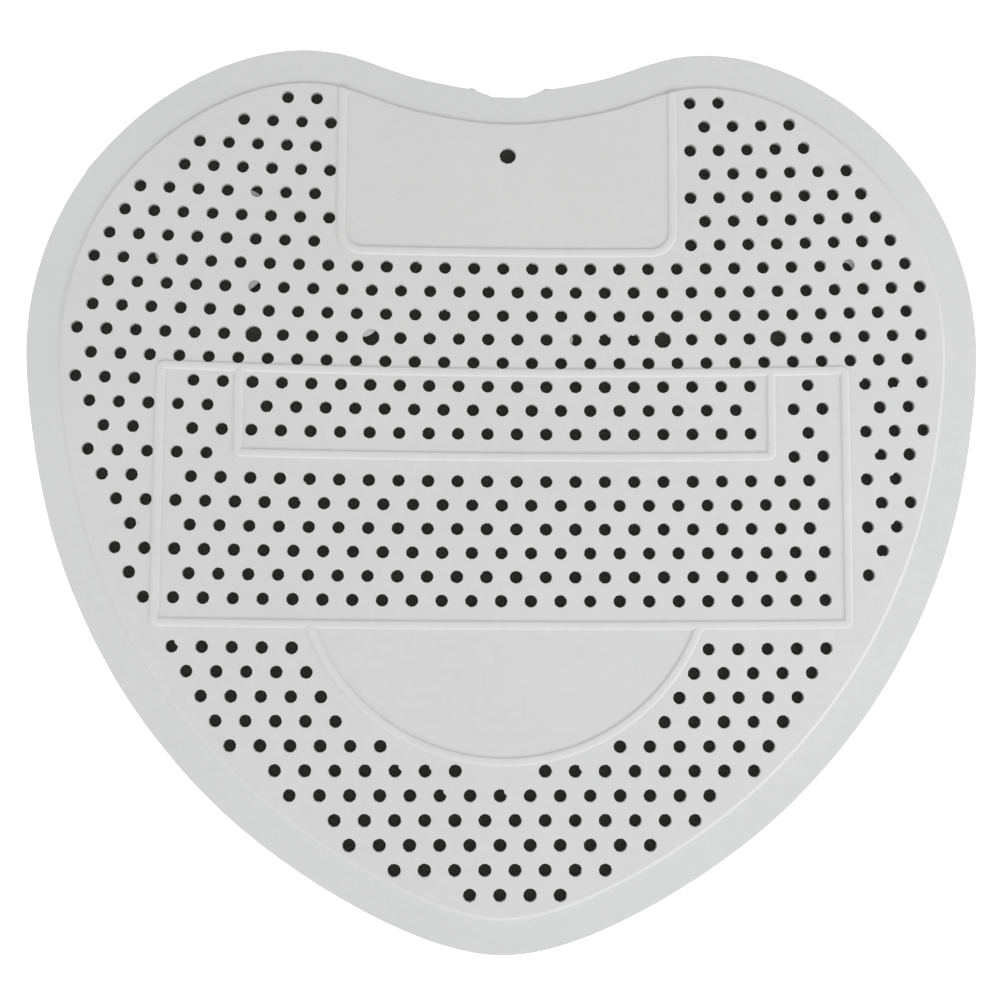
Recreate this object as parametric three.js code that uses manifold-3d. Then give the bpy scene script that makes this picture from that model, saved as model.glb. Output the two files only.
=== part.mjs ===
// Drain screen for a urinal: one soft moulded sheet, flat underneath, with a low
// rim, a raised field inside it, raised ribs on the field and a staggered pattern
// of small drain holes. Millimetres, +Z up, lying flat on z = 0, +Y towards the
// side with the two lobes, origin in the middle of the underside.
import * as THREE from "three";
import { mergeGeometries, mergeVertices } from "three/addons/utils/BufferGeometryUtils.js";
import Module from "manifold-3d";

// ---- driving dimensions ------------------------------------------------------
const RIM_THICKNESS = 1.0; // outer band
const FIELD_THICKNESS = 1.5; // raised area inside the rim
const RIB_TOP = 1.85; // top of the raised ribs
const RIM_WIDTH_SIDES = 6.8; // rim band at the sides and the bottom
const RIM_WIDTH_LOBES = 6.5; // rim band around the two lobes
const CENTRE_Y = 89.5; // half of the moulded height, measured from the bottom edge

// Right half of the outline, from the bottom middle to the middle of the dip
// between the lobes. The left half is its mirror image.
const OUTLINE = [
  [0, -0.1], [13.1, 2.3], [31.9, 11.1], [50.8, 24.2], [66.6, 40.1], [79.2, 58.5],
  [88.3, 79.1], [93.7, 102], [95.1, 122], [91.9, 137.5], [84.9, 151.8],
  [74.4, 163.9], [61, 173.3], [47.4, 178.2], [35.1, 178.7], [17.1, 173.8],
  [0, 171.7],
];
const OUTLINE_STEPS = 2; // facets for each span between two outline points

// Trimmed moulding gate in the dip: a shallow flat-bottomed bite in the edge.
const GATE = [
  [-6.7, 173], [-6.4, 171.9], [-4.4, 171.3], [-3.6, 170.8],
  [3.6, 170.8], [4.4, 171.2], [6.4, 171.9], [6.7, 173],
];

// Ribs. Every number is a centre line measured from the bottom edge of the part.
const RIB_WIDTH = 1.55;
const RIB_CORNER = 1.5; // rounding outside the corners of the two rectangles
const PANEL_X = 33.4; // plain panel under the dip: its two upright ribs
const PANEL_Y = 139.05; // its lower rib
const PANEL_CORNER = 4.4;
const FRAME_LEFT = -68.45; // large rectangle
const FRAME_RIGHT = 67.9;
const FRAME_TOP = 114.7;
const FRAME_BOTTOM = 63.9;
const NOTCH_X = 52.95; // smaller rectangle hanging from the frame's top rib
const NOTCH_Y = 97.65;
const BOWL_Y = 77.6; // half-round rib below the frame
const BOWL_R = 40.6;
const BOWL_STEPS = 14;

// Drain holes: rows are numbered downwards, row 0 lies HOLE_ROW0 above the bottom
// edge, and places in a row count half pitches from the middle, in steps of two.
const HOLE_R = 1.25;
const HOLE_SIDES = 4; // facets of a small hole, of equal area to the round one
const HOLE_HALF_PITCH = 2.915;
const ROW_PITCH = 4.79;
const HOLE_ROW0 = 87.9;
const HOLE_SHIFT = -0.77; // the pattern sits a little left of the middle
const HOLE_ROWS = [
  [-17, [[-15, -13], [13, 15]]],
  [-16, [[-18, -12], [14, 20]]],
  [-15, [[-21, -13], [13, 21]]],
  [-14, [[-22, -12], [14, 24]]],
  [-13, [[-25, -13], [13, 25]]],
  [-12, [[-26, -12], [14, 26]]],
  [-11, [[-27, -13], [13, 27]]],
  [-10, [[-28, 28]]],
  [-9, [[-27, 29]]],
  [-8, [[-28, 28]]],
  [-7, [[-29, 29]]],
  [-6, [[-28, 28]]],
  [-5, [[-29, -25], [-21, 17], [21, 21], [25, 29]]],
  [-4, [[-28, -20], [-16, 16], [20, 22], [26, 28]]],
  [-3, [[-27, -25], [-21, 17], [21, 21], [25, 29]]],
  [-2, [[-28, -20], [20, 22], [26, 28]]],
  [-1, [[-27, -25], [-21, 21], [25, 27]]],
  [0, [[-26, 22], [26, 28]]],
  [1, [[-25, -25], [-21, 21], [25, 27]]],
  [2, [[-26, 22], [26, 26]]],
  [3, [[-25, -25], [-21, 21], [25, 25]]],
  [4, [[-24, 22]]],
  [6, [[-22, -14], [14, 22]]],
  [7, [[-21, -13], [13, 21]]],
  [8, [[-20, -12], [12, 20]]],
  [9, [[-19, -11], [11, 19]]],
  [10, [[-18, -8], [8, 18]]],
  [11, [[-15, -3], [3, 17]]],
  [12, [[-14, 14]]],
  [13, [[-11, 13]]],
  [14, [[-10, 10]]],
  [15, [[-7, 7]]],
  [16, [[-2, 4]]],
];
const WIDE_ROW = -7; // four places in this row have a wider hole
const WIDE_PLACES = [-17, -9, 11, 19];
const WIDE_R = 1.68;
const WIDE_SIDES = 10;
const HANG_Y = 158.7; // single hole in the plain panel
const HANG_R = 1.62;

// The soft sheet has crept out of its moulded shape as it lies: everything shifts
// in the plane by up to 1.5 mm, so rows and ribs bow slightly. The shifts are third
// order in u = x / 100 and v = y / 100, measured from the middle.
const BOW_X = { 1: 0.05, u: 0.37, v: 0.25, uu: -0.22, uv: -0.61, vv: 0.06, uuu: -0.51, uuv: -0.3, uvv: -0.41, vvv: -0.12 };
const BOW_Y = { 1: -0.73, u: -0.06, v: -1.1, uu: 1.74, uv: -0.16, vv: 0.74, uuu: 0.2, uuv: 2.53, uvv: 0.26, vvv: 1.25 };
const BOWED_MIDDLE = [-0.154, 0.134]; // middle of the bowed sheet

// ---- solids --------------------------------------------------------------------
const wasm = await Module();
wasm.setup();

function toSolid(geometry) {
  const g = geometry.index ? geometry.toNonIndexed() : geometry;
  g.deleteAttribute("normal");
  g.deleteAttribute("uv");
  const m = mergeVertices(g, 1e-4);
  return new wasm.Manifold(
    new wasm.Mesh({
      numProp: 3,
      vertProperties: new Float32Array(m.attributes.position.array),
      triVerts: new Uint32Array(m.index.array),
    }),
  );
}

function toGeometry(solid) {
  const m = solid.getMesh();
  const position = new Float32Array(m.numVert * 3);
  for (let i = 0; i < m.numVert; i++)
    position.set(m.vertProperties.subarray(i * m.numProp, i * m.numProp + 3), i * 3);
  const g = new THREE.BufferGeometry();
  g.setAttribute("position", new THREE.BufferAttribute(position, 3));
  g.setIndex(new THREE.BufferAttribute(m.triVerts, 1));
  return g;
}

// A plate with the given outline between two heights.
function plate(points, z0, z1, hole) {
  const shape = new THREE.Shape(points);
  if (hole) shape.holes.push(new THREE.Path(hole));
  const g = new THREE.ExtrudeGeometry(shape, { depth: z1 - z0, bevelEnabled: false, steps: 1 });
  g.translate(0, 0, z0);
  return toSolid(g);
}

const v2 = (x, y) => new THREE.Vector2(x, y);

// ---- outline and field -----------------------------------------------------------
function closedOutline() {
  const left = OUTLINE.slice(1, -1).reverse().map(([x, y]) => [-x, y]);
  const points = [...OUTLINE, ...left].map(([x, y]) => new THREE.Vector3(x, y, 0));
  const curve = new THREE.CatmullRomCurve3(points, true, "centripetal");
  return curve.getPoints(points.length * OUTLINE_STEPS).slice(0, -1).map((p) => v2(p.x, p.y));
}

// The same outline moved inwards by the width of the rim, which is a little
// narrower around the lobes.
function insetOutline(points) {
  return points.map((p, i) => {
    const a = points[(i + points.length - 1) % points.length];
    const b = points[(i + 1) % points.length];
    const inwards = v2(a.y - b.y, b.x - a.x).normalize();
    const share = THREE.MathUtils.smoothstep(p.y, 125, 150);
    const width = THREE.MathUtils.lerp(RIM_WIDTH_SIDES, RIM_WIDTH_LOBES, share);
    return p.clone().addScaledVector(inwards, width);
  });
}

const outline = closedOutline();
const field = insetOutline(outline);

// ---- ribs --------------------------------------------------------------------------
const W = RIB_WIDTH / 2;
const RIB_FOOT = RIM_THICKNESS + 0.2; // ribs start inside the field

// Open path of the panel rib, offset sideways: down, round a corner, across and up.
function panelPath(offset) {
  const x = PANEL_X + offset;
  const y = PANEL_Y - offset;
  const r = PANEL_CORNER + offset;
  const path = [v2(-x, 190)];
  for (let i = 0; i <= 4; i++) {
    const t = Math.PI + (Math.PI / 2) * (i / 4);
    path.push(v2(-x + r + r * Math.cos(t), y + r + r * Math.sin(t)));
  }
  for (let i = 0; i <= 4; i++) {
    const t = 1.5 * Math.PI + (Math.PI / 2) * (i / 4);
    path.push(v2(x - r + r * Math.cos(t), y + r + r * Math.sin(t)));
  }
  path.push(v2(x, 190));
  return path;
}

function bowlPath(r) {
  const path = [];
  const y = FRAME_BOTTOM;
  const start = Math.asin((y - BOWL_Y) / r);
  for (let i = 0; i <= BOWL_STEPS; i++) {
    const t = Math.PI - start + ((Math.PI + 2 * start) * i) / BOWL_STEPS;
    path.push(v2(r * Math.cos(t), BOWL_Y + r * Math.sin(t)));
  }
  return path;
}

const box = (x0, y0, x1, y1) => [v2(x0, y0), v2(x1, y0), v2(x1, y1), v2(x0, y1)];

// A rib's corner is rounded outside and sharp inside.
function roundedBox(x0, y0, x1, y1, upperCorners) {
  const r = RIB_CORNER;
  const path = [];
  const turn = (cx, cy, start) => {
    for (let i = 0; i <= 3; i++) {
      const t = start + (Math.PI / 2) * (i / 3);
      path.push(v2(cx + r * Math.cos(t), cy + r * Math.sin(t)));
    }
  };
  turn(x0 + r, y0 + r, Math.PI);
  turn(x1 - r, y0 + r, 1.5 * Math.PI);
  if (upperCorners) {
    turn(x1 - r, y1 - r, 0);
    turn(x0 + r, y1 - r, Math.PI / 2);
  } else path.push(v2(x1, y1), v2(x0, y1));
  return path;
}

const band = (outer, inner) => plate([...outer, ...inner.reverse()], RIB_FOOT, RIB_TOP);

const fieldColumn = plate(field, RIB_FOOT - 0.1, RIB_TOP + 1);
const panelRib = band(panelPath(W), panelPath(-W)).intersect(fieldColumn);
const frameRib = plate(
  roundedBox(FRAME_LEFT - W, FRAME_BOTTOM - W, FRAME_RIGHT + W, FRAME_TOP + W, true), RIB_FOOT, RIB_TOP,
  box(FRAME_LEFT + W, FRAME_BOTTOM + W, FRAME_RIGHT - W, FRAME_TOP - W),
);
const notchRib = plate(
  roundedBox(-NOTCH_X - W, NOTCH_Y - W, NOTCH_X + W, FRAME_TOP + W, false), RIB_FOOT, RIB_TOP,
  box(-NOTCH_X + W, NOTCH_Y + W, NOTCH_X - W, FRAME_TOP - W),
);
const bowlRib = band(bowlPath(BOWL_R + W), bowlPath(BOWL_R - W));

// ---- drain holes -------------------------------------------------------------------
// A straight drill of the same area as a round one of this radius.
function drill(x, y, r, sides) {
  const corner = r * Math.sqrt((2 * Math.PI) / (sides * Math.sin((2 * Math.PI) / sides)));
  const g = new THREE.CylinderGeometry(corner, corner, RIB_TOP + 2, sides, 1, false, Math.PI / sides);
  g.rotateX(Math.PI / 2);
  g.translate(x, y, RIB_TOP / 2);
  return g;
}

const drills = [];
for (const [row, spans] of HOLE_ROWS)
  for (const [first, last] of spans)
    for (let place = first; place <= last; place += 2) {
      const wide = row === WIDE_ROW && WIDE_PLACES.includes(place);
      drills.push(
        drill(
          HOLE_SHIFT + place * HOLE_HALF_PITCH,
          HOLE_ROW0 - row * ROW_PITCH,
          wide ? WIDE_R : HOLE_R,
          wide ? WIDE_SIDES : HOLE_SIDES,
        ),
      );
    }
drills.push(drill(0, HANG_Y, HANG_R, WIDE_SIDES));

// ---- the moulded sheet -----------------------------------------------------------------
const sheet = plate(outline, 0, RIM_THICKNESS)
  .add(plate(field, RIM_THICKNESS / 2, FIELD_THICKNESS))
  .add(panelRib)
  .add(frameRib)
  .add(notchRib)
  .add(bowlRib)
  .subtract(plate(GATE.map(([x, y]) => v2(x, y)), -1, RIB_TOP + 1))
  .subtract(toSolid(mergeGeometries(drills)));

function bow(terms, u, v) {
  let sum = 0;
  for (const [name, factor] of Object.entries(terms)) {
    let term = factor;
    for (const letter of name) term *= letter === "u" ? u : letter === "v" ? v : 1;
    sum += term;
  }
  return sum;
}

const geometry = toGeometry(sheet);
geometry.translate(0, -CENTRE_Y, 0);
const position = geometry.getAttribute("position");
for (let i = 0; i < position.count; i++) {
  const x = position.getX(i);
  const y = position.getY(i);
  position.setX(i, x + bow(BOW_X, x / 100, y / 100) - BOWED_MIDDLE[0]);
  position.setY(i, y + bow(BOW_Y, x / 100, y / 100) - BOWED_MIDDLE[1]);
}

const vinyl = new THREE.MeshStandardMaterial({ color: 0xd8d9da, roughness: 0.62, metalness: 0 });
const screen = new THREE.Mesh(geometry, vinyl);
screen.name = "screen";

const part = new THREE.Group();
part.add(screen);

export default part;
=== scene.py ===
"""Looks of the urinal drain screen: one soft vinyl sheet with a low rim, a raised
field, raised ribs and round drain holes, lying flat and seen from almost straight
above. Lengths inside the mould functions are millimetres measured as in the CAD
part: x from the middle, y from the bottom edge. The finished mesh is in metres."""

import math

import bpy
import numpy as np
from mathutils import Matrix, Vector
from mathutils.geometry import delaunay_2d_cdt, tessellate_polygon


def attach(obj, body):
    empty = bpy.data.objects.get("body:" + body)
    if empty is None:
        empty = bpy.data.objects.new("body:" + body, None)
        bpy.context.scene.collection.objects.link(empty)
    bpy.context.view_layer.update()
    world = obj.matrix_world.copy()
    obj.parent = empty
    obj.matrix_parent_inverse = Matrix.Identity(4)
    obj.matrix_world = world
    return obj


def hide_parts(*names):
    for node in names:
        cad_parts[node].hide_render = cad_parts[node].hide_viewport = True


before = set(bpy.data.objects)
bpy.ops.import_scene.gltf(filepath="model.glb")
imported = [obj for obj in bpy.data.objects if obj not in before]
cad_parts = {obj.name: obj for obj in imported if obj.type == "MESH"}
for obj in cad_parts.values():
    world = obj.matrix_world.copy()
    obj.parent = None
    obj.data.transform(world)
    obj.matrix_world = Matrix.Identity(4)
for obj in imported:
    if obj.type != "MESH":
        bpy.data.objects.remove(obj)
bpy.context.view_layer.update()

RNG = np.random.default_rng(20260)

# ---- dimensions, as in the CAD part -------------------------------------------
RIM_Z = 1.0
FIELD_Z = 1.5
RIB_Z = 1.85
CENTRE_Y = 89.5
OUTLINE = [
    (0, -0.1), (13.1, 2.3), (31.9, 11.1), (50.8, 24.2), (66.6, 40.1), (79.2, 58.5),
    (88.3, 79.1), (93.7, 102), (95.1, 122), (91.9, 137.5), (84.9, 151.8),
    (74.4, 163.9), (61, 173.3), (47.4, 178.2), (35.1, 178.7), (17.1, 173.8),
    (0, 171.7),
]
RIM_SIDES, RIM_LOBES = 6.8, 6.5
PANEL_X, PANEL_Y, PANEL_CORNER = 33.4, 139.05, 4.4
FRAME_L, FRAME_R, FRAME_T, FRAME_B = -68.45, 67.9, 114.7, 63.9
NOTCH_X, NOTCH_Y = 52.95, 97.65
BOWL_Y, BOWL_R = 77.6, 40.6
HOLE_R, HALF_PITCH, ROW_PITCH, ROW0, SHIFT = 1.25, 2.915, 4.79, 87.9, -0.77
ROWS = {
    -17: [(-15, -13), (13, 15)], -16: [(-18, -12), (14, 20)], -15: [(-21, -13), (13, 21)],
    -14: [(-22, -12), (14, 24)], -13: [(-25, -13), (13, 25)], -12: [(-26, -12), (14, 26)],
    -11: [(-27, -13), (13, 27)], -10: [(-28, 28)], -9: [(-27, 29)], -8: [(-28, 28)],
    -7: [(-29, 29)], -6: [(-28, 28)], -5: [(-29, -25), (-21, 17), (21, 21), (25, 29)],
    -4: [(-28, -20), (-16, 16), (20, 22), (26, 28)], -3: [(-27, -25), (-21, 17), (21, 21), (25, 29)],
    -2: [(-28, -20), (20, 22), (26, 28)], -1: [(-27, -25), (-21, 21), (25, 27)],
    0: [(-26, 22), (26, 28)], 1: [(-25, -25), (-21, 21), (25, 27)], 2: [(-26, 22), (26, 26)],
    3: [(-25, -25), (-21, 21), (25, 25)], 4: [(-24, 22)], 6: [(-22, -14), (14, 22)],
    7: [(-21, -13), (13, 21)], 8: [(-20, -12), (12, 20)], 9: [(-19, -11), (11, 19)],
    10: [(-18, -8), (8, 18)], 11: [(-15, -3), (3, 17)], 12: [(-14, 14)], 13: [(-11, 13)],
    14: [(-10, 10)], 15: [(-7, 7)], 16: [(-2, 4)],
}
WIDE_ROW, WIDE_PLACES, WIDE_R = -7, (-17, -9, 11, 19), 1.68
HANG_Y, HANG_R = 158.7, 1.62
BOW_X = {"": 0.05, "u": 0.37, "v": 0.25, "uu": -0.22, "uv": -0.61, "vv": 0.06, "uuu": -0.51, "uuv": -0.3, "uvv": -0.41, "vvv": -0.12}
BOW_Y = {"": -0.73, "u": -0.06, "v": -1.1, "uu": 1.74, "uv": -0.16, "vv": 0.74, "uuu": 0.2, "uuv": 2.53, "uvv": 0.26, "vvv": 1.25}
BOWED_MIDDLE = (-0.154, 0.134)

# ---- moulded section ------------------------------------------------------------
STEP_OUT, STEP_IN = 0.42, 0.34  # reach of the step from rim to field
RIB_FLAT, RIB_FOOT, RIB_CROWN = 0.56, 1.0, 0.045
SKIRT_H, SKIRT_L = 0.045, 0.75  # soft rise of the sheet towards a rib
RIM_SKIRT_H, RIM_SKIRT_L = 0.07, 1.1  # and of the rim towards the field
RIB_TURN = 0.78  # centre-line radius of the ribs' corners: rounded outside, sharp inside
EDGE_R = 0.16  # rounding of the outer top edge
RIB_PAINTED_HIGHLIGHT, RIB_PAINTED_SHADE = 0.024, 0.03  # painted highlight on a rib's top and painted shade in the line at its foot
WALL_PAINTED_SHADE = (0.9, 0.84, 0.68, 0.62)  # painted shade: the walls of the holes are darker downwards
HOLE_EDGE = 0.13  # rounding round each hole
HOLE_STEPS = 22


def bow(terms, x, y):
    u, v = x / 100, y / 100
    return sum(f * u ** name.count("u") * v ** name.count("v") for name, f in terms.items())


def to_part(x, y):
    """Mould millimetres to the part's own plane, in millimetres."""
    y = y - CENTRE_Y
    return x + bow(BOW_X, x, y) - BOWED_MIDDLE[0], y + bow(BOW_Y, x, y) - BOWED_MIDDLE[1]


def smooth(t):
    t = np.clip(t, 0, 1)
    return t * t * (3 - 2 * t)


# ---- outline ----------------------------------------------------------------------
def spline(points, steps):
    """Closed centripetal Catmull-Rom curve."""
    p = np.array(points, float)
    n = len(p)
    out = []
    for i in range(n):
        p0, p1, p2, p3 = p[i - 1], p[i], p[(i + 1) % n], p[(i + 2) % n]
        d0, d1, d2 = (np.linalg.norm(b - a) ** 0.5 for a, b in ((p0, p1), (p1, p2), (p2, p3)))
        t1 = ((p1 - p0) / d0 - (p2 - p0) / (d0 + d1) + (p2 - p1) / d1) * d1
        t2 = ((p2 - p1) / d1 - (p3 - p1) / (d1 + d2) + (p3 - p2) / d2) * d1
        for k in range(steps):
            t = k / steps
            out.append(p1 + t1 * t + (-3 * p1 + 3 * p2 - 2 * t1 - t2) * t * t + (2 * p1 - 2 * p2 + t1 + t2) * t ** 3)
    return np.array(out)


def resample(p, step, closed=True):
    q = np.vstack([p, p[:1]]) if closed else p
    s = np.r_[0, np.cumsum(np.hypot(*np.diff(q, axis=0).T))]
    n = max(2, int(round(s[-1] / step)))
    t = np.linspace(0, s[-1], n + 1)
    r = np.stack([np.interp(t, s, q[:, k]) for k in (0, 1)], -1)
    return r[:-1] if closed else r


def inward(p):
    """Unit normals into a counterclockwise closed line."""
    d = np.roll(p, -1, 0) - np.roll(p, 1, 0)
    n = np.stack([-d[:, 1], d[:, 0]], -1)
    return n / np.linalg.norm(n, axis=1, keepdims=True)


LEFT = [(-x, y) for x, y in reversed(OUTLINE[1:-1])]
CURVE = spline(OUTLINE + LEFT, 40)  # smooth moulded outline, before the gate is trimmed
share = smooth((CURVE[:, 1] - 125) / 25)
FIELD = resample(CURVE + inward(CURVE) * (RIM_SIDES + (RIM_LOBES - RIM_SIDES) * share)[:, None], 0.7)

# The trimmed gate in the dip: a shallow flat-bottomed bite with softly torn ends.
GATE = [(8.2, 0.0), (7.4, 0.03), (6.8, 0.1), (6.3, 0.32), (5.6, 0.55), (4.9, 0.72), (4.3, 0.88), (3.7, 1.1), (3.1, 1.16),
        (2.0, 1.1), (0.6, 1.13), (-1.2, 1.08), (-2.9, 1.15), (-3.5, 1.08), (-3.9, 0.82), (-4.6, 0.66), (-5.4, 0.5), (-6.2, 0.22),
        (-6.7, 0.06), (-7.4, 0.02), (-8.2, 0.0)]


def gate_depth(x):
    g = sorted(GATE)
    return np.interp(x, [a for a, _ in g], [b for _, b in g], left=0, right=0)


def outline_line():
    p = resample(CURVE, 1.25)
    keep = ~((np.abs(p[:, 0]) < 9.2) & (p[:, 1] > 150))
    i = int(np.argmax(np.abs(p[:, 0]) * (p[:, 1] > 150) * ~keep)) if (~keep).any() else 0
    fine = resample(CURVE, 0.3)
    fine = fine[(np.abs(fine[:, 0]) < 9.0) & (fine[:, 1] > 150)]
    fine = fine[np.argsort(-fine[:, 0])]
    q = np.roll(p, -int(np.flatnonzero(~keep)[-1]) - 1, axis=0)
    k = np.roll(keep, -int(np.flatnonzero(~keep)[-1]) - 1)
    p = np.vstack([q[k], fine])
    dip = (p[:, 1] > 150) & (np.abs(p[:, 0]) < 9.5)
    p[dip, 1] -= gate_depth(p[dip, 0])
    # faint unevenness of the trimmed edge, and one small nick on the upper left
    s = np.r_[0, np.cumsum(np.hypot(*np.diff(p, axis=0).T))]
    wave = sum(a * np.sin(2 * math.pi * s / w + f) for a, w, f in ((0.02, 31.0, 0.4), (0.014, 11.3, 2.0), (0.009, 4.7, 4.4)))
    d = np.hypot(p[:, 0] + 83.6, p[:, 1] - 153.0)
    low = 0.05 + 0.08 * smooth((60 - p[:, 1]) / 40)
    p -= inward(p) * (low + wave * (1 - np.exp(-((p[:, 0] / 9) ** 2))) + 0.22 * np.exp(-((d / 1.1) ** 2)))[:, None]
    return p


EDGE = outline_line()


# ---- distances ---------------------------------------------------------------------
def near_line(q, line, closed=True):
    """Distance of points q to a line, and the sign of the side they lie on (+ left)."""
    a = line if closed else line[:-1]
    b = np.roll(line, -1, 0) if closed else line[1:]
    ab = b - a
    ll = (ab ** 2).sum(1)
    best = np.full(len(q), 1e9)
    sign = np.ones(len(q))
    for i in range(0, len(q), 4000):
        c = q[i:i + 4000]
        ap = c[:, None] - a[None]
        t = np.clip((ap * ab).sum(2) / ll, 0, 1)
        d = ap - t[..., None] * ab
        dd = (d ** 2).sum(2)
        k = dd.argmin(1)
        r = np.arange(len(c))
        best[i:i + 4000] = np.sqrt(dd[r, k])
        sign[i:i + 4000] = np.sign(ab[k, 0] * ap[r, k, 1] - ab[k, 1] * ap[r, k, 0])
    return best, sign


def seg_dist(x, y, x0, y0, x1, y1):
    dx, dy = x1 - x0, y1 - y0
    t = np.clip(((x - x0) * dx + (y - y0) * dy) / (dx * dx + dy * dy), 0, 1)
    return np.hypot(x - x0 - t * dx, y - y0 - t * dy)


def arc_dist(x, y, cx, cy, r, sx, sy):
    """Distance to a quarter circle in the quadrant given by the signs sx, sy."""
    a, b = x - cx, y - cy
    return np.where((a * sx >= 0) & (b * sy >= 0), np.abs(np.hypot(a, b) - r), 1e9)


def rib_dist(x, y):
    X, Y, C, R = PANEL_X, PANEL_Y, PANEL_CORNER, RIB_TURN
    d = [
        seg_dist(x, y, -X, 200, -X, Y + C), seg_dist(x, y, X, 200, X, Y + C), seg_dist(x, y, -X + C, Y, X - C, Y),
        seg_dist(x, y, FRAME_L + R, FRAME_B, FRAME_R - R, FRAME_B), seg_dist(x, y, FRAME_L + R, FRAME_T, FRAME_R - R, FRAME_T),
        seg_dist(x, y, FRAME_L, FRAME_B + R, FRAME_L, FRAME_T - R), seg_dist(x, y, FRAME_R, FRAME_B + R, FRAME_R, FRAME_T - R),
        seg_dist(x, y, -NOTCH_X + R, NOTCH_Y, NOTCH_X - R, NOTCH_Y),
        seg_dist(x, y, -NOTCH_X, NOTCH_Y + R, -NOTCH_X, FRAME_T), seg_dist(x, y, NOTCH_X, NOTCH_Y + R, NOTCH_X, FRAME_T),
        arc_dist(x, y, -X + C, Y + C, C, -1, -1), arc_dist(x, y, X - C, Y + C, C, 1, -1),
        arc_dist(x, y, FRAME_L + R, FRAME_B + R, R, -1, -1), arc_dist(x, y, FRAME_R - R, FRAME_B + R, R, 1, -1),
        arc_dist(x, y, FRAME_L + R, FRAME_T - R, R, -1, 1), arc_dist(x, y, FRAME_R - R, FRAME_T - R, R, 1, 1),
        arc_dist(x, y, -NOTCH_X + R, NOTCH_Y + R, R, -1, -1), arc_dist(x, y, NOTCH_X - R, NOTCH_Y + R, R, 1, -1),
    ]
    a, b = x, y - BOWL_Y
    d.append(np.where(y <= FRAME_B, np.abs(np.hypot(a, b) - BOWL_R), 1e9))
    return np.min(d, axis=0)


def height(q):
    d, sign = near_line(q, FIELD)
    s = d * sign
    rise = smooth((s + STEP_OUT) / (STEP_OUT + STEP_IN))
    r = rib_dist(q[:, 0], q[:, 1])
    up = 1 - smooth((r - RIB_FLAT) / (RIB_FOOT - RIB_FLAT))
    skirt = SKIRT_H * np.exp(-np.maximum(r - RIB_FLAT, 0) / SKIRT_L)
    rib = up * (RIB_Z - FIELD_Z - SKIRT_H - RIB_CROWN * np.clip(r / RIB_FLAT, 0, 1) ** 2) + skirt
    rim = RIM_SKIRT_H * np.exp(np.minimum(s + STEP_OUT, 0) / RIM_SKIRT_L)
    return RIM_Z + (1 - rise) * rim + rise * (FIELD_Z - RIM_Z + rib)


def normal(q, h=0.012):
    gx = (height(q + [h, 0]) - height(q - [h, 0])) / (2 * h)
    gy = (height(q + [0, h]) - height(q - [0, h])) / (2 * h)
    n = np.stack([-gx, -gy, np.ones(len(q))], -1)
    return n / np.linalg.norm(n, axis=1, keepdims=True)


# ---- holes ---------------------------------------------------------------------------
HOLES = []  # x, y, radius, (row, place)
for row, spans in ROWS.items():
    for first, last in spans:
        for place in range(first, last + 1, 2):
            wide = row == WIDE_ROW and place in WIDE_PLACES
            HOLES.append((SHIFT + place * HALF_PITCH, ROW0 - row * ROW_PITCH, WIDE_R if wide else HOLE_R, (row, place)))
HOLES.append((0.0, HANG_Y, HANG_R, ("hang", 0)))
# The holes differ a little, and those near the bottom edge are slightly larger.
HOLES = [(x, y, r * (1 + 0.012 * RNG.standard_normal() + 0.035 * min(max((60 - y) / 40, 0), 1)), key) for x, y, r, key in HOLES]


HOLE_GRID = {}
for hole in HOLES:
    HOLE_GRID.setdefault((int(hole[0] // 6), int(hole[1] // 6)), []).append(hole)


def HOLES_NEAR(x, y):
    a, b = int(x // 6), int(y // 6)
    return [h for i in (a - 1, a, a + 1) for j in (b - 1, b, b + 1) for h in HOLE_GRID.get((i, j), ())]


# ---- flat meshing ----------------------------------------------------------------------
def lines_for_ribs():
    """Lines that follow the section of the ribs, so that the mesh has its edges where the section turns."""
    out = []
    offsets = (0.0, 0.3, 0.47, 0.56, 0.65, 0.74, 0.83, 0.92, 1.0, 1.1, 1.24, 1.45, 1.8, 2.5)
    for o in sorted(set(offsets) | {-v for v in offsets}):
        # panel: down, round, across, round, up
        x, y, r = PANEL_X + o, PANEL_Y - o, PANEL_CORNER + o
        path = [(-x, v) for v in np.arange(172, y + r, -2.5)]
        path += [(-x + r + r * math.cos(t), y + r + r * math.sin(t)) for t in np.linspace(math.pi, 1.5 * math.pi, 9)]
        path += [(v, y) for v in np.arange(-x + r + 2.5, x - r - 1, 2.5)]
        path += [(x - r + r * math.cos(t), y + r + r * math.sin(t)) for t in np.linspace(1.5 * math.pi, 2 * math.pi, 9)]
        path += [(x, v) for v in np.arange(y + r + 2.5, 172.5, 2.5)]
        out.append((path, False))
        out.append((rounded_box(FRAME_L - o, FRAME_B - o, FRAME_R + o, FRAME_T + o, RIB_TURN + o), True))
        # notch: a U hanging from the frame's top rib
        x, y = NOTCH_X + o, NOTCH_Y - o
        c = max(RIB_TURN + o, 0)
        path = [(-x, v) for v in np.arange(FRAME_T, y + c + 1, -2.5)]
        path += corner(-x + c, y + c, c, math.pi)
        path += [(v, y) for v in np.arange(-x + c + 2.5, x - c - 1, 2.5)]
        path += corner(x - c, y + c, c, 1.5 * math.pi)
        path += [(x, v) for v in np.arange(y + c + 2.0, FRAME_T - 0.5, 2.5)] + [(x, FRAME_T)]
        out.append((path, False))
        r = BOWL_R + o
        start = math.asin((FRAME_B - BOWL_Y) / r)
        out.append(([(r * math.cos(t), BOWL_Y + r * math.sin(t)) for t in np.linspace(math.pi - start, 2 * math.pi + start, 76)], False))
    return out


def corner(cx, cy, r, start):
    if r <= 1e-6:
        return [(cx, cy)]
    return [(cx + r * math.cos(t), cy + r * math.sin(t)) for t in np.linspace(start, start + math.pi / 2, 5)]


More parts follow.
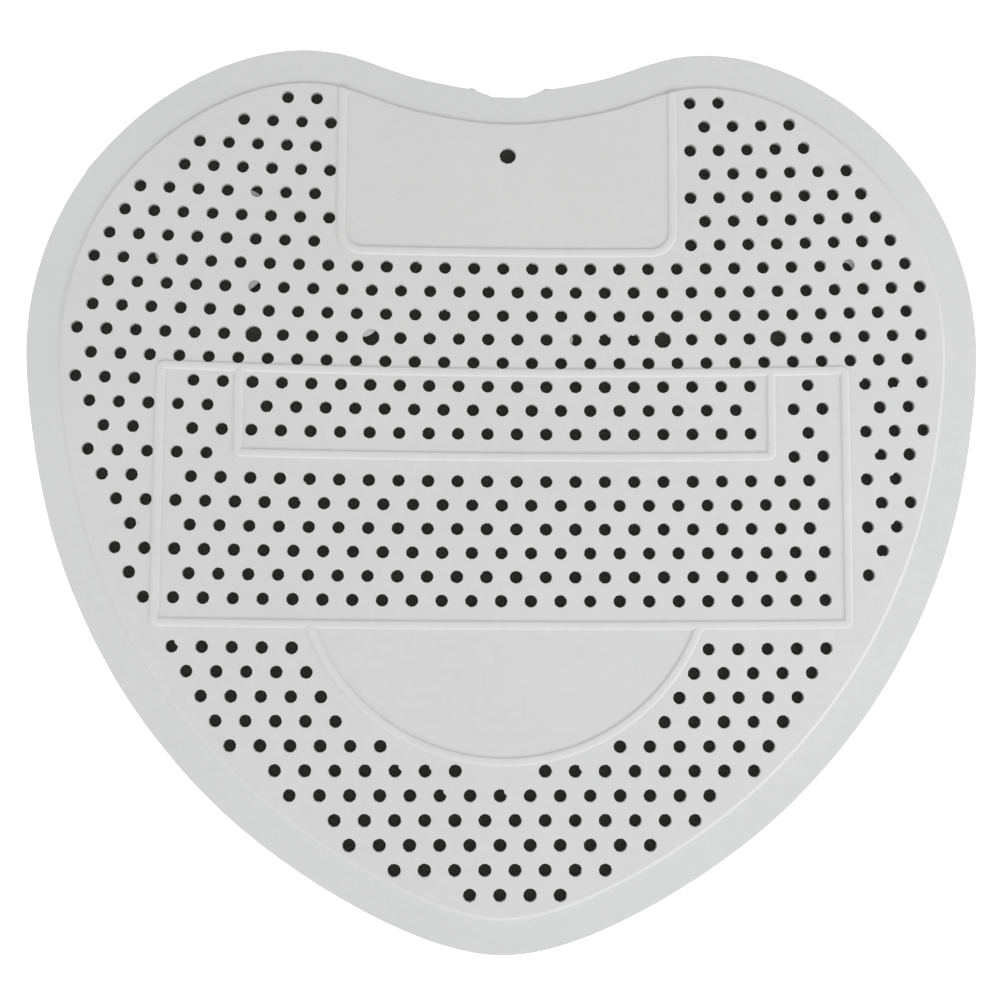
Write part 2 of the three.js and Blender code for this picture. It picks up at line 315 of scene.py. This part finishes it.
def rounded_box(x0, y0, x1, y1, r):
    r = max(r, 0)
    path = corner(x0 + r, y0 + r, r, math.pi)
    path += [(v, y0) for v in np.arange(x0 + r + 2.5, x1 - r - 1, 2.5)]
    path += corner(x1 - r, y0 + r, r, 1.5 * math.pi)
    path += [(x1, v) for v in np.arange(y0 + r + 2.5, y1 - r - 1, 2.5)]
    path += corner(x1 - r, y1 - r, r, 0)
    path += [(v, y1) for v in np.arange(x1 - r - 2.5, x0 + r + 1, -2.5)]
    path += corner(x0 + r, y1 - r, r, math.pi / 2)
    path += [(x0, v) for v in np.arange(y1 - r - 2.5, y0 + r + 1, -2.5)]
    return path


def clear_of_holes(path, closed, gap=0.09):
    """The parts of a line that stay clear of every hole's rim."""
    path = [tuple(map(float, q)) for q in path]
    if closed:
        path = path + path[:1]
    parts, part = [], [path[0]]
    for a, b in zip(path, path[1:]):
        dx, dy = b[0] - a[0], b[1] - a[1]
        ll = dx * dx + dy * dy
        cuts = []
        for x, y, r, _ in HOLES_NEAR(0.5 * (a[0] + b[0]), 0.5 * (a[1] + b[1])):
            R = r + HOLE_EDGE + gap
            t = ((x - a[0]) * dx + (y - a[1]) * dy) / ll
            off = (a[0] + t * dx - x) ** 2 + (a[1] + t * dy - y) ** 2
            if off < R * R:
                h = math.sqrt((R * R - off) / ll)
                if t + h > 0 and t - h < 1:
                    cuts.append((t - h, t + h))
        for t0, t1 in sorted(cuts):
            if t0 > 0:
                part.append((a[0] + t0 * dx, a[1] + t0 * dy))
            parts.append(part)
            part = [(a[0] + t1 * dx, a[1] + t1 * dy)] if t1 < 1 else []
        if part or not cuts:
            part.append(b)
    parts.append(part)
    return [q for q in parts if len(q) > 1]


def triangulate(outer, rings, lines):
    """Flat mesh inside outer and outside the rings, with edges along lines. Returns points, triangles."""
    pts, edges = [], []

    def add(path, closed):
        n = len(pts)
        pts.extend(Vector((float(a), float(b))) for a, b in path)
        m = len(path)
        edges.extend((n + i, n + i + 1) for i in range(m - 1))
        if closed:
            edges.append((n + m - 1, n))

    add(outer, True)
    for ring in rings:
        add(ring, True)
    for path, closed in lines:
        add(path, closed)
    v, _, f, *_ = delaunay_2d_cdt(pts, edges, [], 0, 1e-5, False)
    v = np.array([(a.x, a.y) for a in v], float)
    f = np.array([t for t in f], int)
    return v, f


def drop_holes(v, f, outer, centres, radii):
    """Keeps the triangles inside the outline and outside every hole."""
    c = v[f].mean(1)
    grid = {}
    for i, (x, y) in enumerate(centres):
        grid.setdefault((int(x // 6), int(y // 6)), []).append(i)
    inside = np.zeros(len(c), bool)
    for k, (x, y) in enumerate(c):
        a, b = int(x // 6), int(y // 6)
        for i in (i for da in (-1, 0, 1) for db in (-1, 0, 1) for i in grid.get((a + da, b + db), ())):
            if math.hypot(x - centres[i][0], y - centres[i][1]) < radii[i]:
                inside[k] = True
                break
    d, sign = near_line(c, outer)
    ok = ~inside & (sign > 0)
    a, b, e = v[f[:, 0]], v[f[:, 1]], v[f[:, 2]]
    area = (b[:, 0] - a[:, 0]) * (e[:, 1] - a[:, 1]) - (b[:, 1] - a[:, 1]) * (e[:, 0] - a[:, 0])
    f = f[ok & (np.abs(area) > 1e-9)]
    area = area[ok & (np.abs(area) > 1e-9)]
    f[area < 0] = f[area < 0][:, ::-1]
    return f


def loops_of(f):
    """Closed boundary loops of a triangle mesh, each in the direction its triangles give it."""
    e = {}
    for t in f:
        for i in range(3):
            a, b = int(t[i]), int(t[(i + 1) % 3])
            if (b, a) in e:
                del e[(b, a)]
            else:
                e[(a, b)] = 1
    follow = {}
    for a, b in e:
        follow[a] = b
    loops = []
    while follow:
        a, b = next(iter(follow.items()))
        loop = [a]
        del follow[a]
        while b != a:
            loop.append(b)
            b = follow.pop(b)
        loops.append(loop)
    return loops


def ring(x, y, r, n=HOLE_STEPS, turn=0.0):
    t = turn + np.arange(n) * 2 * math.pi / n
    return np.stack([x + r * np.cos(t), y + r * np.sin(t)], -1)


class Sheet:
    """Collects vertices with their own normals and tone, and faces."""

    def __init__(self):
        self.p, self.n, self.f, self.tone, self.count = [], [], [], [], 0

    def add(self, p, n, tone=1.0):
        start = self.count
        self.p.append(np.asarray(p, float))
        self.n.append(np.asarray(n, float))
        self.tone.append(np.broadcast_to(np.asarray(tone, float), (len(p),)))
        self.count += len(p)
        return np.arange(start, self.count)

    def band(self, a, b):
        """Quads between two closed rings of the same length."""
        a2, b2 = np.roll(a, -1), np.roll(b, -1)
        self.f.append(np.stack([a, b, b2], -1))
        self.f.append(np.stack([a, b2, a2], -1))


def painted_rib_light(q):
    """Painted light on the ribs: a painted highlight on their tops, and a faint line of painted shade at their feet."""
    r = rib_dist(q[:, 0], q[:, 1])
    d, sign = near_line(q, FIELD)
    inside = smooth((d * sign + STEP_OUT) / (STEP_OUT + STEP_IN))
    # painted highlight on the rib tops, painted shade in a line at their feet
    rib_top_highlight = RIB_PAINTED_HIGHLIGHT * (1 - smooth((r - 0.55) / 0.35))
    rib_foot_shade = RIB_PAINTED_SHADE * np.exp(-(((r - 1.1) / 0.2) ** 2))
    return 1 + inside * (rib_top_highlight - rib_foot_shade)


def build_sheet():
    edge_in = EDGE + inward(EDGE) * EDGE_R
    rim_lines = []
    for s in (-0.42, -0.33, -0.22, -0.09, 0.04, 0.16, 0.26, 0.34):
        line = resample(FIELD + inward(FIELD) * s, 1.3)
        rim_lines.append((line, True))
    for s in (-0.75, -1.3, -2.2, -3.6):
        rim_lines.append((resample(FIELD + inward(FIELD) * s, 2.0), True))
    rib_lines = []
    for path, closed in lines_for_ribs():
        path = np.array(path)
        if not closed:  # the panel's uprights end where the field steps down
            d, sign = near_line(path, FIELD)
            path = path[d * sign > -0.2]
        rib_lines.append((path, closed))
    lines = [(part, False) for path, closed in rim_lines + rib_lines for part in clear_of_holes(path, closed)]
    tops = [ring(x, y, r + HOLE_EDGE, turn=0.07 * i) for i, (x, y, r, _) in enumerate(HOLES)]
    v, f = triangulate(edge_in, tops, lines)
    centres = [(x, y) for x, y, _, _ in HOLES]
    f = drop_holes(v, f, edge_in, centres, [(r + HOLE_EDGE) * 0.96 for _, _, r, _ in HOLES])

    sheet = Sheet()
    z = height(v)
    n = normal(v)
    # the rims of the holes are exact circles, also where another line cuts them
    loops = loops_of(f)
    hole_of = {}
    for loop in loops:
        c = v[loop].mean(0)
        if len(loop) > 200:
            continue
        d = [math.hypot(c[0] - x, c[1] - y) for x, y in centres]
        i = int(np.argmin(d))
        hole_of[tuple(loop)] = i
        x, y, r, _ = HOLES[i]
        q = v[loop] - (x, y)
        v[loop] = (x, y) + q / np.linalg.norm(q, axis=1, keepdims=True) * (r + HOLE_EDGE)
    top = sheet.add(np.c_[v, z], n, painted_rib_light(v))
    sheet.f.append(f)

    bottoms, bottom_rings, outer_bottom = [], [], None
    for loop in loops:
        idx = np.array(loop)
        q = v[idx]
        if tuple(loop) in hole_of:
            x, y, r, key = HOLES[hole_of[tuple(loop)]]
            out = (q - (x, y)) / (r + HOLE_EDGE)  # unit vectors away from the hole's middle
            rows = hole_rings(key, x, y, r, out, z[idx])
            last = idx
            side = -0.13 * max(-1, min(1, x / 60))  # the painted shade on the walls is a little lighter on the left of the sheet
            for (p, m), tone in zip(rows, (WALL_PAINTED_SHADE[0], WALL_PAINTED_SHADE[1], WALL_PAINTED_SHADE[2] + side, WALL_PAINTED_SHADE[3] + side)):
                now = sheet.add(p, m, tone)
                sheet.band(last, now)
                last = now
            bottoms.append(last)
            bottom_rings.append(rows[-1][0][:, :2])
        else:
            n_in = inward(q)
            # follow the fillet of the outer edge down to the underside
            wall = []
            flash = flash_line(q)
            for s, zz, a in (
                (EDGE_R * 0.62, RIM_Z - EDGE_R * 0.075, 22), (EDGE_R * 0.29, RIM_Z - EDGE_R * 0.29, 45),
                (EDGE_R * 0.075, RIM_Z - EDGE_R * 0.62, 68), (0.0, RIM_Z - EDGE_R, 90),
            ):
                wall.append((q - n_in * (EDGE_R - s), zz, a))
            wall.append((q - n_in * (EDGE_R + flash)[:, None], 0.48, 80))
            wall.append((q - n_in * (EDGE_R + 0.6 * flash)[:, None], 0.36, 100))
            wall.append((q - n_in * EDGE_R, 0.14, 92))
            wall.append((q - n_in * (EDGE_R - 0.1), 0.0, 180))
            last = idx
            for p, zz, a in wall:
                t = math.radians(a)
                m = np.c_[-n_in * math.sin(t), np.full(len(p), math.cos(t))]
                # painted shade: the flash and the outer wall below it are darker
                now = sheet.add(np.c_[p, np.full(len(p), zz)], m, 1 - (zz < 0.6) * 0.5 * np.clip(flash / 0.22 - 0.2, 0, 1))
                sheet.band(last, now)
                last = now
            outer_bottom = last
            bottom_edge = wall[-1][0]
    # underside: flat, sharing the last ring of every hole and of the edge
    v2, f2 = triangulate(bottom_edge, bottom_rings, [])
    d = drop_holes(v2, f2, bottom_edge, centres, [r * 1.02 for _, _, r, _ in HOLES])
    known = {}
    allp = np.vstack(sheet.p)
    for group in bottoms + [outer_bottom]:
        for i in group:
            known[(round(allp[i, 0], 3), round(allp[i, 1], 3))] = int(i)
    table = np.full(len(v2), -1)
    cell = {}
    for key, i in known.items():
        cell.setdefault((int(key[0] * 10), int(key[1] * 10)), []).append(i)
    for k in np.unique(d):
        x, y = v2[k]
        best, bi = 1e9, -1
        for da in (-1, 0, 1):
            for db in (-1, 0, 1):
                for i in cell.get((int(x * 10) + da, int(y * 10) + db), ()):
                    g = math.hypot(allp[i, 0] - x, allp[i, 1] - y)
                    if g < best:
                        best, bi = g, i
        if best > 0.01:
            raise RuntimeError(f"the underside has a point of its own at {x:.3f}, {y:.3f}")
        table[k] = bi
    sheet.f.append(table[d][:, ::-1])
    place_of = {key: (x, y, r) for x, y, r, key in HOLES}
    for key, line, top_z, tone, thick in film_specs():
        if key in place_of:
            add_film(sheet, *place_of[key], line, top_z, tone, thick)
    return sheet


def flash_line(q):
    """Thin flash on the outline beside the gate, and its reach in mm."""
    f = np.zeros(len(q))
    for x, w, a in ((-7.35, 0.75, 0.34), (7.9, 1.1, 0.3)):
        near = q[:, 1] > 150
        f += near * a * np.clip(1 - np.abs((q[:, 0] - x) / w) ** 2.2, 0, 1) * (np.abs(q[:, 0] - x) < w)
    f += 0.2 * np.exp(-((np.hypot(q[:, 0] + 84.3, q[:, 1] - 152.2) / 1.0) ** 2))
    f += 0.012 * (1 + np.sin(q[:, 0] * 1.7 + q[:, 1] * 1.1))
    return f


def hole_rings(key, x, y, r, out, z):
    """Rings from the top surface down through a hole: rounded edge, wall, small bottom edge."""
    k = HOLE_EDGE
    rows = []
    for a in (38, 90):
        t = math.radians(a)
        rad = r + k * (1 - math.sin(t))
        p = np.c_[(x, y) + out * rad, z - k * (1 - math.cos(t))]
        rows.append((p, np.c_[-out * math.sin(t), np.full(len(out), math.cos(t))]))
    wall = np.c_[-out, np.full(len(out), 0.02)]
    rows.append((np.c_[(x, y) + out * (r - 0.02), np.full(len(out), 0.12)], wall))
    rows.append((np.c_[(x, y) + out * (r + 0.06), np.zeros(len(out))], np.tile([0, 0, -1.0], (len(out), 1))))
    return rows


# Thin mould flash left in some holes. Each film covers the part of its hole that lies
# to the right of the line given in hole radii, from its first to its last point, and
# reaches the wall. Then come the height of its top in mm and its tone.
# the tones are painted shade: films lying deeper in their hole are darker
FILMS = [
    ((-13, -17), [(-0.98, 0.14), (-0.6, 0.13), (-0.18, -0.03), (0.3, -0.33), (0.7, -0.71)], 0.62, 0.74),
    ((-10, -24), [(0.97, -0.3), (0.81, -0.26), (0.62, -0.05), (0.5, 0.14), (0.36, 0.5), (0.29, 0.92)], 0.6, 0.78),
    ((-9, -17), [(0.56, 0.82), (0.42, 0.56), (0.08, 0.28), (-0.18, -0.02), (-0.82, -0.48)], 0.62, 0.76),
    ((-7, -9), [(0.5, 0.86), (0.24, 0.6), (-0.14, 0.31), (-0.57, 0.12), (-0.99, 0.1)], 0.9, 0.8),
    ((-10, 24), [(0.75, -0.66), (0.7, -0.3), (0.45, 0.0), (0.2, 0.34), (-0.27, 0.62), (-0.68, 0.46), (-0.98, 0.2)], 0.55, 0.7),
    ((-7, 5), [(-0.58, 0.8), (-0.5, 0.64), (-0.41, 0.3), (-0.47, -0.25), (-0.62, -0.72)], 0.7, 0.76),
    ((6, -22), [(1.0, 0.0), (0.8, 0.2), (0.52, 0.5), (0.42, 0.92)], 1.485, 1.0),
    ((11, -7), [(0.99, 0.0), (0.84, 0.14), (0.58, 0.42), (0.52, 0.84)], 1.485, 1.0),
    ((11, -5), [(0.99, 0.06), (0.86, 0.2), (0.66, 0.44), (0.6, 0.8)], 1.485, 1.0),
    ((11, 5), [(0.99, 0.0), (0.86, 0.14), (0.62, 0.44), (0.56, 0.82)], 1.485, 1.0),
    ((12, 0), [(0.99, 0.02), (0.84, 0.16), (0.6, 0.44), (0.54, 0.84)], 1.485, 1.0),
    ((12, -4), [(1.0, 0.0), (0.82, 0.14), (0.57, 0.4), (0.48, 0.87)], 1.485, 1.0),
    ((-5, 25), [(-0.3, 0.95), (-0.42, 0.62), (-0.7, 0.35), (-0.98, 0.2)], 1.48, 0.98),
    ((-5, 27), [(-0.5, -0.86), (-0.1, -0.66), (0.3, -0.7), (0.62, -0.5), (0.72, -0.1), (0.98, 0.1)], 1.47, 0.96),
    ((-2, 26), [(-0.36, 0.93), (-0.5, 0.55), (-0.75, 0.3), (-0.98, 0.2)], 1.48, 1.0),
    ((-2, 26), [(-0.7, -0.7), (-0.2, -0.8), (0.3, -0.8), (0.66, -0.75)], 1.48, 0.98),
    ((0, 26), [(-0.42, -0.9), (-0.1, -0.85), (0.2, -0.87), (0.42, -0.9)], 1.48, 0.98),
    ((-1, 27), [(-0.1, 1.0), (-0.35, 0.72), (-0.62, 0.5), (-0.93, 0.38)], 1.48, 1.0),
    ((1, 27), [(-0.26, 0.96), (-0.48, 0.6), (-0.72, 0.36), (-0.97, 0.24)], 1.47, 0.98),
    ((2, 26), [(-0.45, -0.89), (-0.12, -0.8), (0.2, -0.84), (0.45, -0.89)], 1.48, 0.98),
]


def film_specs():
    """The films above and many small burrs, mostly in the rows below the dip."""
    specs = [(key, line, top, tone, 0.16) for key, line, top, tone in FILMS]

    def burr(key, middle, width, reach, top, tone):
        a = np.radians(np.array([middle - width, middle - 0.4 * width, middle + 0.35 * width, middle + width]))
        rad = np.array([1.0, 1 - reach, 1 - 0.8 * reach, 1.0])
        specs.append((key, [(r * math.cos(t), r * math.sin(t)) for t, r in zip(a, rad)], top, tone, 0.12))

    # the burrs' tones are painted shade for their place down in the hole
    for key, middle, width, reach in (
        ((-7, 7), 168, 17, 0.22), ((-7, 7), 50, 24, 0.27), ((-7, 9), 98, 22, 0.3), ((-7, 9), 15, 16, 0.24), ((-7, 9), 195, 13, 0.14),
        (("hang", 0), 62, 22, 0.1), (("hang", 0), 104, 17, 0.12), (("hang", 0), 140, 14, 0.1),
        ((-1, -13), 225, 16, 0.24), ((0, -14), 28, 13, 0.2), ((3, -13), 286, 13, 0.2), ((3, -19), 30, 12, 0.14),
    ):
        burr(key, middle, width, reach, 1.25, 0.95)
    taken = {key for key, *_ in specs}
    for x, y, r, key in HOLES:
        if key in taken or key[0] == "hang":
            continue
        row, place = key
        many = -10 <= row <= -7 and -11 <= place <= 11
        if RNG.random() < (0.75 if many else 0.1):
            for _ in range(1 + int(RNG.random() < (0.6 if many else 0.1))):
                middle = RNG.uniform(40, 150) if many else RNG.uniform(0, 360)
                burr(key, middle, RNG.uniform(9, 22), RNG.uniform(0.1, 0.24) if many else RNG.uniform(0.06, 0.16), RNG.uniform(0.9, 1.3), RNG.uniform(0.75, 0.95))
    return specs


def add_film(sheet, x, y, r, line, top, tone, thick):
    """A thin closed body between the wall of a hole and a line across it."""
    line = np.array(line)
    a0, a1 = (math.atan2(q[1], q[0]) for q in (line[-1], line[0]))
    if a1 > a0:
        a1 -= 2 * math.pi
    # from the end of the line back along the wall to its start
    arc = np.linspace(a0, a1, max(3, int((a0 - a1) / 0.3)))
    reach = (r + 0.06) / r
    wall = np.stack([np.cos(arc), np.sin(arc)], -1) * reach
    inner = resample(line, 0.12, closed=False)
    inner[1:-1] += RNG.normal(0, 0.012, (len(inner) - 2, 2))
    q = np.vstack([inner[1:-1], wall]) * r + (x, y)
    if np.sum(q[:, 0] * np.roll(q[:, 1], -1) - np.roll(q[:, 0], -1) * q[:, 1]) < 0:
        q = q[::-1]
    m = len(q)
    out = -inward(q)
    k = 0.2 * thick
    upper = sheet.add(np.c_[q - out * k, np.full(m, top)], np.tile([0, 0, 1.0], (m, 1)), tone)
    # painted shade: the film's lip and underside are darker than its top
    lip = sheet.add(np.c_[q, np.full(m, top - k)], np.c_[out, np.full(m, 0.6)], tone * 0.95)
    low = sheet.add(np.c_[q, np.full(m, top - thick)], np.c_[out, np.full(m, -0.8)], tone * 0.7)
    for t in tessellate_polygon([[Vector((float(u), float(v), 0)) for u, v in q]]):
        u, v, w = (q[i] for i in t)
        turn = (v[0] - u[0]) * (w[1] - u[1]) - (v[1] - u[1]) * (w[0] - u[0])
        t = list(t) if turn > 0 else list(t)[::-1]
        sheet.f.append(upper[t][None])
        sheet.f.append(low[t[::-1]][None])
    sheet.band(upper, lip)
    sheet.band(lip, low)


def make_object(sheet):
    p = np.vstack(sheet.p)
    n = np.vstack(sheet.n)
    f = np.vstack(sheet.f)
    n /= np.linalg.norm(n, axis=1, keepdims=True)
    d, sign = near_line(p[:, :2], FIELD)
    rimness = 1 - smooth((d * sign + STEP_OUT) / (STEP_OUT + STEP_IN))
    x, y = to_part(p[:, 0], p[:, 1])
    p = np.c_[x, y, p[:, 2]] / 1000
    mesh = bpy.data.meshes.new("vinyl_screen")
    mesh.from_pydata(p.tolist(), [], f.tolist())
    mesh.validate()
    mesh.shade_smooth()
    mesh.normals_split_custom_set_from_vertices(n.tolist())
    mesh.update()
    tone = mesh.attributes.new("tone", "FLOAT", "POINT")
    tone.data.foreach_set("value", np.concatenate(sheet.tone).astype(np.float32))
    cool = mesh.attributes.new("cool", "FLOAT", "POINT")
    cool.data.foreach_set("value", rimness.astype(np.float32))
    obj = bpy.data.objects.new("vinyl_screen", mesh)
    bpy.context.scene.collection.objects.link(obj)
    return obj


# ---- materials ---------------------------------------------------------------------------
def new_material(name):
    m = bpy.data.materials.new(name)
    m.use_nodes = True
    t = m.node_tree
    t.nodes.clear()
    out = t.nodes.new("ShaderNodeOutputMaterial")
    return m, t, out


SPECKS = [  # x, y, half width, half height in mm, and how much darker
    (-11.45, 76.63, 0.22, 0.16, 0.12), (-21.79, 60.53, 0.2, 0.2, 0.22), (-7.31, 56.35, 0.22, 0.2, 0.24),
    (-30.1, 68.85, 0.16, 0.16, 0.14), (-71.94, -6.27, 0.24, 0.22, 0.34), (-57.35, -5.23, 0.1, 0.42, 0.22), (-55.88, -8.44, 0.3, 0.3, 0.1),
    (-9.35, -52.9, 0.16, 0.16, 0.14), (-8.4, -52.5, 0.14, 0.12, 0.12),
]


def vinyl_material():
    m, t, out = new_material("soft_vinyl")
    L = t.links.new
    b = t.nodes.new("ShaderNodeBsdfPrincipled")
    b.inputs["IOR"].default_value = 1.46
    b.inputs["Specular IOR Level"].default_value = 0.32
    L(b.outputs[0], out.inputs["Surface"])
    pos = t.nodes.new("ShaderNodeTexCoord").outputs["Object"]

    def noise(scale, detail=2.0, rough=0.5, w=0.0):
        n = t.nodes.new("ShaderNodeTexNoise")
        n.noise_dimensions = "3D"
        n.inputs["Scale"].default_value = scale
        n.inputs["Detail"].default_value = detail
        n.inputs["Roughness"].default_value = rough
        if w:
            off = t.nodes.new("ShaderNodeVectorMath")
            off.operation = "ADD"
            off.inputs[1].default_value = (w, w * 0.7, w * 1.3)
            L(pos, off.inputs[0])
            L(off.outputs[0], n.inputs["Vector"])
        else:
            L(pos, n.inputs["Vector"])
        return n.outputs["Fac"]

    def span(x, a0, a1, b0, b1):
        r = t.nodes.new("ShaderNodeMapRange")
        for name, v in (("From Min", a0), ("From Max", a1), ("To Min", b0), ("To Max", b1)):
            r.inputs[name].default_value = v
        L(x, r.inputs["Value"])
        return r.outputs["Result"]

    def math_(op, a, b2):
        n = t.nodes.new("ShaderNodeMath")
        n.operation = op
        for i, v in enumerate((a, b2)):
            if isinstance(v, (int, float)):
                n.inputs[i].default_value = v
            else:
                L(v, n.inputs[i])
        return n.outputs[0]

    cloud = span(noise(28, 3, 0.55), 0.3, 0.7, 0.985, 1.015)  # slow mottling, a few cm
    blotch = span(noise(420, 3, 0.62, 3.1), 0.3, 0.7, 0.984, 1.016)
    grain = span(noise(2600, 2, 0.6, 7.7), 0.25, 0.75, 0.988, 1.012)
    tone = math_("MULTIPLY", math_("MULTIPLY", cloud, blotch), grain)
    # a few fine dark specks in the plastic
    speck = t.nodes.new("ShaderNodeTexVoronoi")
    speck.voronoi_dimensions = "3D"
    speck.feature = "F1"
    speck.inputs["Scale"].default_value = 95
    speck.inputs["Randomness"].default_value = 1.0
    L(pos, speck.inputs["Vector"])
    dot = span(speck.outputs["Distance"], 0.012, 0.03, 0.0, 1.0)
    pick = span(speck.outputs["Color"], 0.0, 1.0, 0.0, 1.0)
    rare = span(pick, 0.80, 0.82, 1.0, 0.0)
    keep = math_("MAXIMUM", dot, rare)
    tone = math_("MULTIPLY", tone, span(keep, 0.0, 1.0, 0.72, 1.0))
    def attribute(name):
        n = t.nodes.new("ShaderNodeAttribute")
        n.attribute_name = name
        return n.outputs["Fac"]

    # single specks and two fine scratches, in metres from the middle of the sheet
    for x, y, rx, ry, depth in SPECKS:
        off = t.nodes.new("ShaderNodeVectorMath")
        off.operation = "SUBTRACT"
        off.inputs[1].default_value = (x / 1000, y / 1000, 0)
        L(pos, off.inputs[0])
        squeeze = t.nodes.new("ShaderNodeVectorMath")
        squeeze.operation = "MULTIPLY"
        squeeze.inputs[1].default_value = (1000 / rx, 1000 / ry, 0)
        L(off.outputs[0], squeeze.inputs[0])
        far = t.nodes.new("ShaderNodeVectorMath")
        far.operation = "LENGTH"
        L(squeeze.outputs[0], far.inputs[0])
        tone = math_("MULTIPLY", tone, span(far.outputs["Value"], 0.5, 1.2, 1 - depth, 1.0))
    tone = math_("MULTIPLY", tone, attribute("tone"))
    mix = t.nodes.new("ShaderNodeMix")
    mix.data_type = "RGBA"
    mix.blend_type = "MULTIPLY"
    mix.inputs["Factor"].default_value = 1.0
    hue = t.nodes.new("ShaderNodeMix")
    hue.data_type = "RGBA"
    hue.inputs["A"].default_value = (0.639, 0.6385, 0.6365, 1)
    hue.inputs["B"].default_value = (0.634, 0.6375, 0.646, 1)
    L(math_("ADD", span(noise(14, 2, 0.5, 12.0), 0.35, 0.65, 0.0, 0.3), math_("MULTIPLY", attribute("cool"), 0.45)), hue.inputs["Factor"])
    L(hue.outputs["Result"], mix.inputs["A"])
    comb = t.nodes.new("ShaderNodeCombineColor")
    for i in range(3):
        L(tone, comb.inputs[i])
    L(comb.outputs[0], mix.inputs["B"])
    L(mix.outputs["Result"], b.inputs["Base Color"])
    rough = math_("ADD", span(noise(420, 3, 0.6, 5.0), 0.3, 0.7, 0.52, 0.66), span(noise(3200, 1, 0.5, 2.0), 0.3, 0.7, -0.03, 0.03))
    L(rough, b.inputs["Roughness"])
    bump = t.nodes.new("ShaderNodeBump")
    bump.inputs["Strength"].default_value = 0.35
    bump.inputs["Distance"].default_value = 0.00003
    fine = math_("ADD", noise(2200, 2, 0.55, 1.0), math_("MULTIPLY", noise(600, 2, 0.5, 9.0), 0.6))
    L(fine, bump.inputs["Height"])
    wave = t.nodes.new("ShaderNodeBump")
    wave.inputs["Strength"].default_value = 0.58
    wave.inputs["Distance"].default_value = 0.0002
    L(noise(55, 2, 0.5, 4.0), wave.inputs["Height"])
    L(wave.outputs["Normal"], bump.inputs["Normal"])
    L(bump.outputs["Normal"], b.inputs["Normal"])
    return m


def floor_material():
    m, t, out = new_material("studio_floor")
    b = t.nodes.new("ShaderNodeBsdfPrincipled")
    b.inputs["Base Color"].default_value = (0.86, 0.86, 0.86, 1)
    b.inputs["Roughness"].default_value = 0.8
    b.inputs["Emission Color"].default_value = (1, 1, 1, 1)
    b.inputs["Emission Strength"].default_value = 0.55
    t.links.new(b.outputs[0], out.inputs["Surface"])
    m.cycles.emission_sampling = "NONE"
    return m


def card_material():
    m, t, out = new_material("dark_backing")
    b = t.nodes.new("ShaderNodeBsdfPrincipled")
    b.inputs["Roughness"].default_value = 0.8
    n = t.nodes.new("ShaderNodeTexNoise")
    n.inputs["Scale"].default_value = 2400
    n.inputs["Detail"].default_value = 3
    t.links.new(t.nodes.new("ShaderNodeTexCoord").outputs["Object"], n.inputs["Vector"])
    ramp = t.nodes.new("ShaderNodeValToRGB")
    ramp.color_ramp.elements[0].position = 0.35
    ramp.color_ramp.elements[0].color = (0.016, 0.016, 0.015, 1)
    ramp.color_ramp.elements[1].position = 0.68
    ramp.color_ramp.elements[1].color = (0.05, 0.05, 0.046, 1)
    t.links.new(n.outputs["Fac"], ramp.inputs["Fac"])
    t.links.new(ramp.outputs["Color"], b.inputs["Base Color"])
    t.links.new(b.outputs[0], out.inputs["Surface"])
    return m


# ---- build ---------------------------------------------------------------------------------
sheet = build_sheet()
screen = make_object(sheet)
screen.data.materials.append(vinyl_material())
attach(screen, "root")
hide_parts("screen")
print("sheet triangles", len(screen.data.polygons), "vertices", len(screen.data.vertices))


def flat(name, points, z, material):
    mesh = bpy.data.meshes.new(name)
    mesh.from_pydata([(float(a), float(b), z) for a, b in points], [], [list(range(len(points)))])
    mesh.update()
    obj = bpy.data.objects.new(name, mesh)
    bpy.context.scene.collection.objects.link(obj)
    mesh.materials.append(material)
    return obj


flat("studio_floor", [(-60, -60), (60, -60), (60, 60), (-60, 60)], -0.00012, floor_material())
inner = resample(CURVE, 2.0)
inner = inner + inward(inner) * 3.0
card_xy = np.stack(to_part(inner[:, 0], inner[:, 1]), -1) / 1000
flat("dark_backing", card_xy, -0.00006, card_material())

# ---- light -----------------------------------------------------------------------------------
world = bpy.data.worlds.new("studio")
bpy.context.scene.world = world
world.use_nodes = True
world.node_tree.nodes["Background"].inputs["Color"].default_value = (1.0, 1.0, 1.0, 1)
world.node_tree.nodes["Background"].inputs["Strength"].default_value = 0.63


def area(name, azimuth, elevation, distance, size, power, colour=(1, 1, 1)):
    """A soft square light aimed at the sheet's middle; azimuth 0 is +X, 90 is +Y."""
    a, e = math.radians(azimuth), math.radians(elevation)
    d = Vector((math.cos(e) * math.cos(a), math.cos(e) * math.sin(a), math.sin(e)))
    light = bpy.data.lights.new(name, "AREA")
    light.shape = "RECTANGLE"
    light.size, light.size_y = size
    light.energy = power
    light.color = colour
    obj = bpy.data.objects.new(name, light)
    bpy.context.scene.collection.objects.link(obj)
    obj.location = d * distance
    obj.rotation_euler = (-d).to_track_quat("-Z", "Y").to_euler()
    return obj


area("light_front", -92, 31, 3.4, (2.8, 1.4), 39.0)
area("light_right", -14, 28, 0.55, (0.36, 0.26), 1.3)
area("light_left", 190, 22, 0.5, (0.32, 0.22), 0.42)

# ---- camera ------------------------------------------------------------------------------------
cam = bpy.data.cameras.new("camera")
cam.lens, cam.sensor_width, cam.sensor_fit = 64.8, 36.0, "HORIZONTAL"
cam.clip_start, cam.clip_end = 0.02, 400
camera = bpy.data.objects.new("camera", cam)
bpy.context.scene.collection.objects.link(camera)
camera.matrix_world = Matrix((
    (0.999559, -0.0064846, -0.0289774, -0.011247),
    (0.0037042, 0.9954711, -0.0949924, -0.035235),
    (0.0294622, 0.0948432, 0.9950562, 0.355889),
    (0, 0, 0, 1),
))
bpy.context.scene.camera = camera
bpy.context.scene.view_settings.view_transform = "Standard"
bpy.context.scene.view_settings.look = "None"

bpy.context.view_layer.update()
